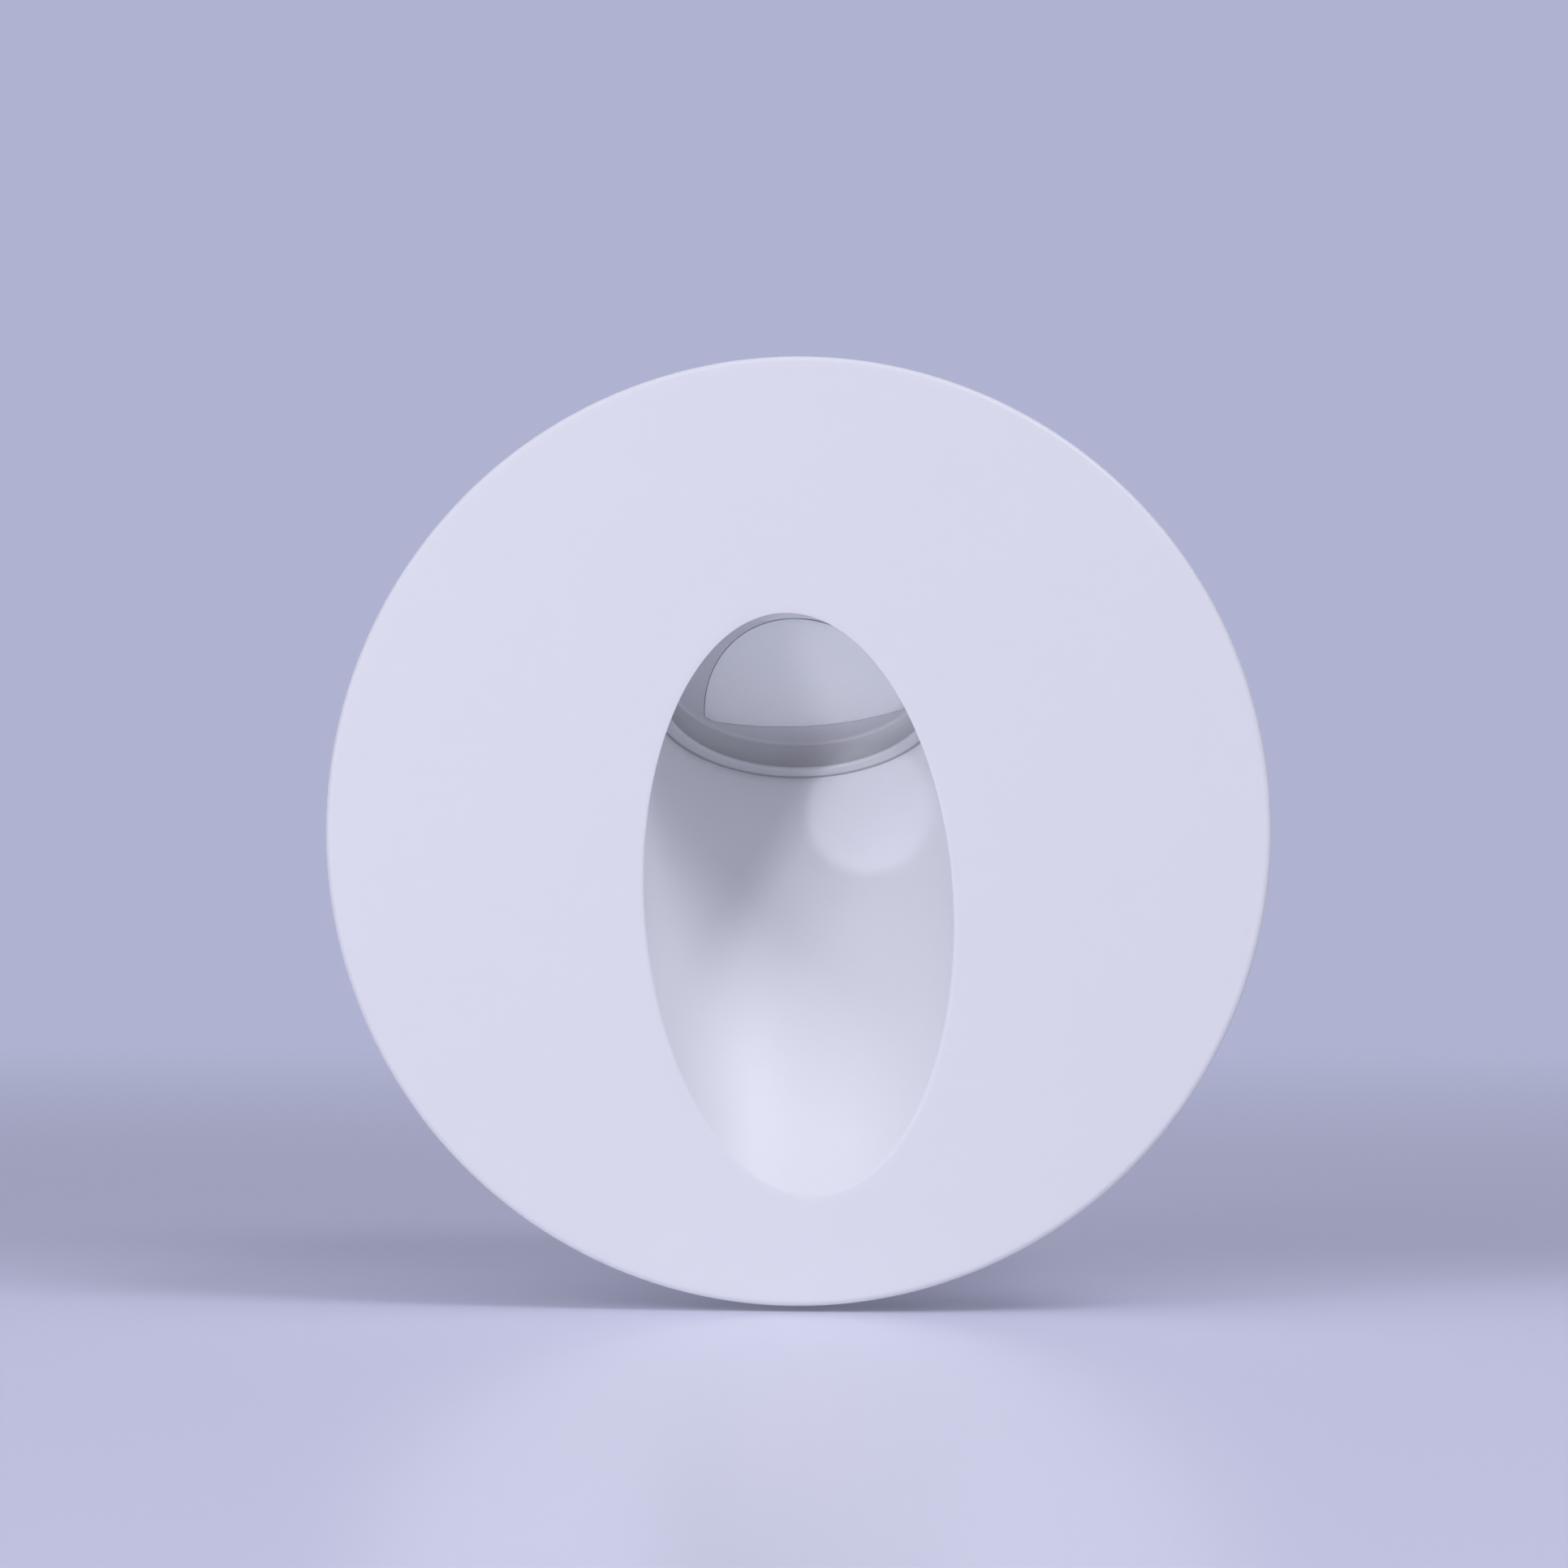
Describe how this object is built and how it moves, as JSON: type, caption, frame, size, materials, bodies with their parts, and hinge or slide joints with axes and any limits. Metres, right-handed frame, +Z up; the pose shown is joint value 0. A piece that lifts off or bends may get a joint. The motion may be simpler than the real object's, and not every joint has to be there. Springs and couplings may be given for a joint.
{
  "type": "step light",
  "caption": "Round recessed step light: flat white face plate with a slanted oval light bore, lamp unit, driver housing, sprung wall clips and rear cable gland.",
  "frame": {"origin": "centre of the face plate's rear side, in the plane where it meets the wall", "axes": "+X to the right seen from the front, +Y into the wall, +Z up; the lit face looks along -Y"},
  "size_m": [0.08, 0.0613, 0.08],
  "materials": {
    "face_white": "satin white powder coat",
    "ring_white": "gloss",
    "cup_grey": "satin",
    "frosted_lens": "frosted",
    "reflector_white": "gloss",
    "chip_yellow": "silicone",
    "board_white": "solder mask",
    "pad_grey": "soft",
    "plain_aluminium": "machined",
    "screw_steel": "plain stainless",
    "seal_rubber": "closed-cell foam",
    "dark_rubber": "matt",
    "housing_grey": "fine texture powder coat on die casting",
    "board_green": "solder mask",
    "transformer_yellow": "taped",
    "capacitor_black": "sleeved",
    "choke_dark": "shrink sleeve",
    "chip_black": "moulded",
    "terminal_plastic": "moulded",
    "lead_insulation": "silicone insulation",
    "gland_plastic": "moulded nylon",
    "clip_steel": "pressed stainless",
    "spring_steel": "drawn wire",
    "sleeve_rubber": "matt"
  },
  "bodies": {
    "fixture": {"face_plate": "face_white", "wall_gasket": "seal_rubber", "lens_seal": "dark_rubber", "lens_ring": "ring_white", "lens_cup": "cup_grey", "lens": "frosted_lens", "reflector": "reflector_white", "led_chip": "chip_yellow", "led_board": "board_white", "thermal_pad": "pad_grey", "board_screws": "screw_steel", "heat_spreader": "plain_aluminium", "spreader_screws": "screw_steel", "body_seal": "seal_rubber", "housing": "housing_grey", "housing_screws": "screw_steel", "driver_board": "board_green", "driver_screws": "screw_steel", "transformer": "transformer_yellow", "input_capacitor": "capacitor_black", "output_capacitor": "capacitor_black", "choke": "choke_dark", "driver_chip": "chip_black", "terminal_block": "terminal_plastic", "led_leads": "lead_insulation", "cover_seal": "seal_rubber", "rear_cover": "housing_grey", "cover_screws": "screw_steel", "gland_washer": "seal_rubber", "gland_body": "gland_plastic", "gland_seal": "dark_rubber", "gland_cap": "gland_plastic", "gland_locknut": "gland_plastic", "clip_bracket_right": "clip_steel", "clip_pin_right": "clip_steel", "clip_spring_right": "spring_steel", "clip_bracket_left": "clip_steel", "clip_pin_left": "clip_steel", "clip_spring_left": "spring_steel", "bracket_screws": "screw_steel"},
    "clip_right": {"clip_arm_right": "clip_steel", "clip_sleeve_right": "sleeve_rubber"},
    "clip_left": {"clip_arm_left": "clip_steel", "clip_sleeve_left": "sleeve_rubber"}
  },
  "joints": [
    {"name": "clip_right_fold", "type": "hinge", "parent": "fixture", "child": "clip_right", "pos_m": [0.0317, 0.014, 0], "axis": [0, 0, 1], "range_deg": [0, 150], "stiffness_Nm_per_rad": 0.04, "springref_deg": -34.38, "deforming": ["clip_spring_right"]},
    {"name": "clip_left_fold", "type": "hinge", "parent": "fixture", "child": "clip_left", "pos_m": [-0.0317, 0.014, 0], "axis": [0, 0, -1], "range_deg": [0, 150], "stiffness_Nm_per_rad": 0.04, "springref_deg": -34.38, "deforming": ["clip_spring_left"]}
  ]
}
